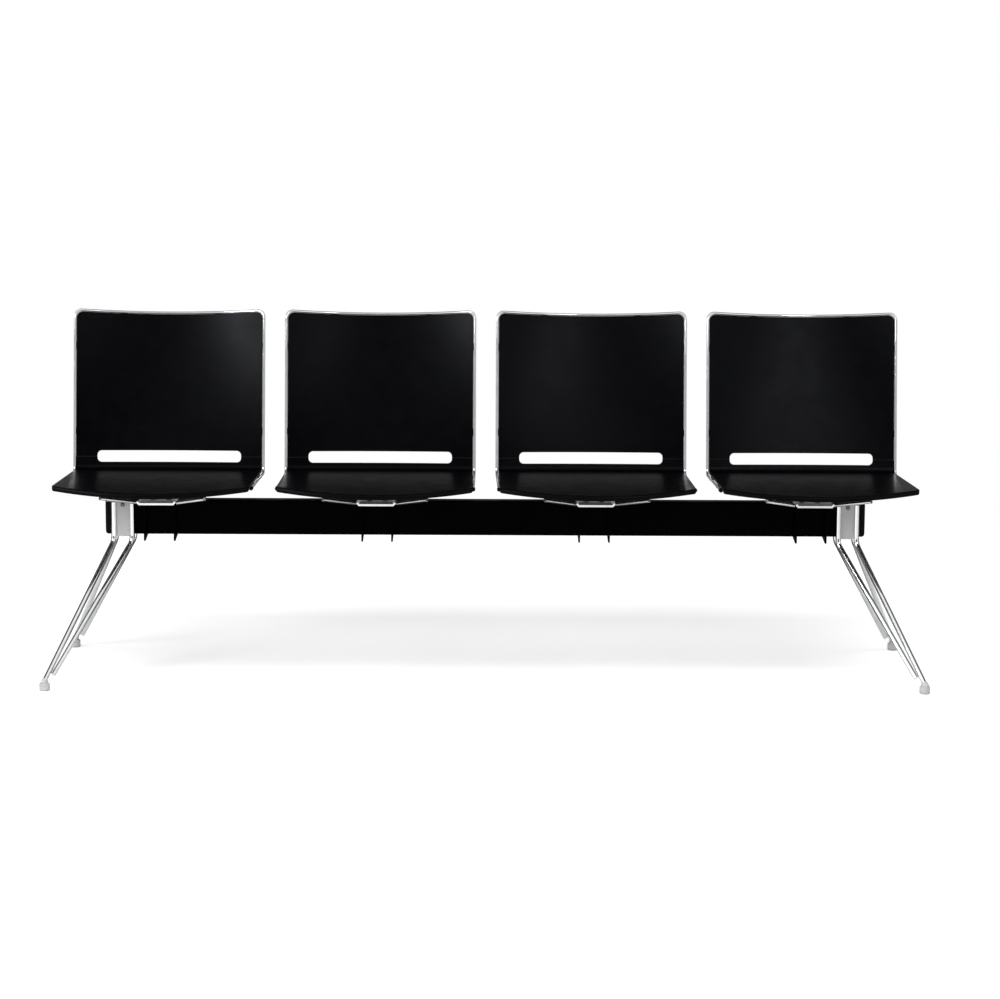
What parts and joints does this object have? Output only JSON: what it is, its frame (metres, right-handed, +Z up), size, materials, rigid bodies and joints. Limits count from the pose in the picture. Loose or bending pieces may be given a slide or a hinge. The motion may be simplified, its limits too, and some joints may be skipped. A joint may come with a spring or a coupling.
{
  "type": "beam-mounted waiting bench",
  "caption": "Waiting bench: black moulded seats and backs on chrome rod frames, carried by a black beam on splayed chrome rod legs.",
  "frame": {"origin": "on the floor below the middle of the bench's overall box", "axes": "+X along the bench to the sitter's left as they face the camera side, +Y from the front of the seats to their backs, +Z up"},
  "size_m": [2, 0.5374, 0.8188],
  "materials": {
    "panel_plastic": "fine matte grain",
    "rod_chrome": "polished",
    "leg_chrome": "polished",
    "tray_chrome": "polished",
    "hook_paint": "satin",
    "beam_paint": "satin",
    "cap_plastic": "matte",
    "cradle_paint": "satin",
    "glide_plastic": "translucent",
    "fastener_steel": "zinc plated"
  },
  "bodies": {
    "root": {"seat_panel_1": "panel_plastic", "seat_panel_2": "panel_plastic", "seat_panel_3": "panel_plastic", "seat_panel_4": "panel_plastic", "back_panel_1": "panel_plastic", "back_panel_2": "panel_plastic", "back_panel_3": "panel_plastic", "back_panel_4": "panel_plastic", "frame_rod_1": "rod_chrome", "frame_rod_2": "rod_chrome", "frame_rod_3": "rod_chrome", "frame_rod_4": "rod_chrome", "front_arm_left_1": "rod_chrome", "front_arm_left_2": "rod_chrome", "front_arm_left_3": "rod_chrome", "front_arm_left_4": "rod_chrome", "front_arm_right_1": "rod_chrome", "front_arm_right_2": "rod_chrome", "front_arm_right_3": "rod_chrome", "front_arm_right_4": "rod_chrome", "rear_arm_left_1": "rod_chrome", "rear_arm_left_2": "rod_chrome", "rear_arm_left_3": "rod_chrome", "rear_arm_left_4": "rod_chrome", "rear_arm_right_1": "rod_chrome", "rear_arm_right_2": "rod_chrome", "rear_arm_right_3": "rod_chrome", "rear_arm_right_4": "rod_chrome", "saddle_tray_1": "tray_chrome", "saddle_tray_2": "tray_chrome", "saddle_tray_3": "tray_chrome", "saddle_tray_4": "tray_chrome", "hook_plate_left_1": "hook_paint", "hook_plate_left_2": "hook_paint", "hook_plate_left_3": "hook_paint", "hook_plate_left_4": "hook_paint", "hook_plate_right_1": "hook_paint", "hook_plate_right_2": "hook_paint", "hook_plate_right_3": "hook_paint", "hook_plate_right_4": "hook_paint", "outer_leg_rod_left_front": "leg_chrome", "inner_leg_rod_left_front": "leg_chrome", "glide_left_front": "glide_plastic", "outer_leg_rod_left_rear": "leg_chrome", "inner_leg_rod_left_rear": "leg_chrome", "glide_left_rear": "glide_plastic", "beam_cap_left": "cap_plastic", "leg_cradle_left": "cradle_paint", "outer_leg_rod_right_front": "leg_chrome", "inner_leg_rod_right_front": "leg_chrome", "glide_right_front": "glide_plastic", "outer_leg_rod_right_rear": "leg_chrome", "inner_leg_rod_right_rear": "leg_chrome", "glide_right_rear": "glide_plastic", "beam_cap_right": "cap_plastic", "leg_cradle_right": "cradle_paint", "beam": "beam_paint", "seat_bolts": "fastener_steel", "leg_screws": "fastener_steel"}
  },
  "joints": []
}
